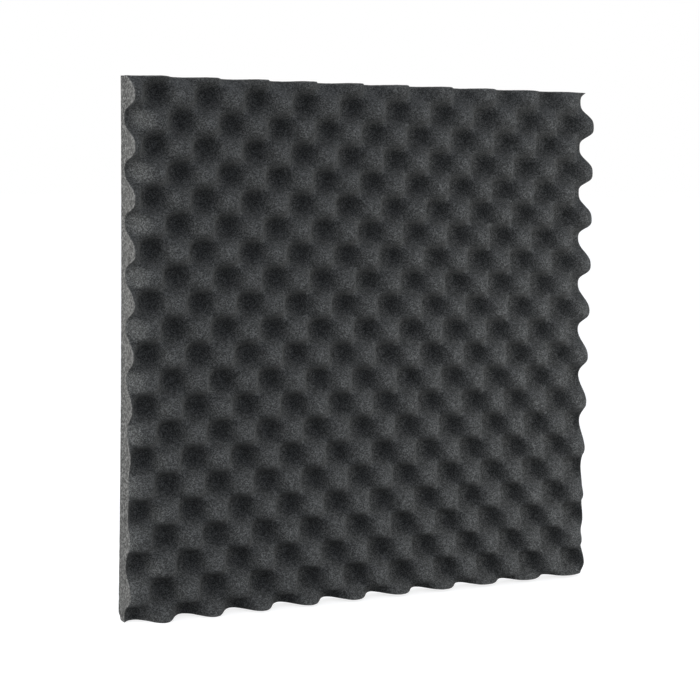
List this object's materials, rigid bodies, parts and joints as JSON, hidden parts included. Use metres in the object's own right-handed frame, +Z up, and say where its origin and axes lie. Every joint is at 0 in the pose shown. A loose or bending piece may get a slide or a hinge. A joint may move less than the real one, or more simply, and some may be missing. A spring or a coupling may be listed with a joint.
{
  "type": "acoustic foam panel",
  "caption": "Square tile of charcoal open-cell foam with a flat back, straight cut edges and a front of rounded bumps and hollows set like a chessboard.",
  "frame": {"origin": "centre of the flat back face, which is glued to the wall or ceiling", "axes": "+Y out of the back, towards the wall; the bumps point along -Y; +Z up; +X to the right for someone who looks at the bumps"},
  "size_m": [0.5, 0.0319, 0.5],
  "materials": {
    "foam": "matt open-cell polyurethane foam, charcoal grey"
  },
  "bodies": {
    "root": {"foam_panel": "foam"}
  },
  "joints": []
}
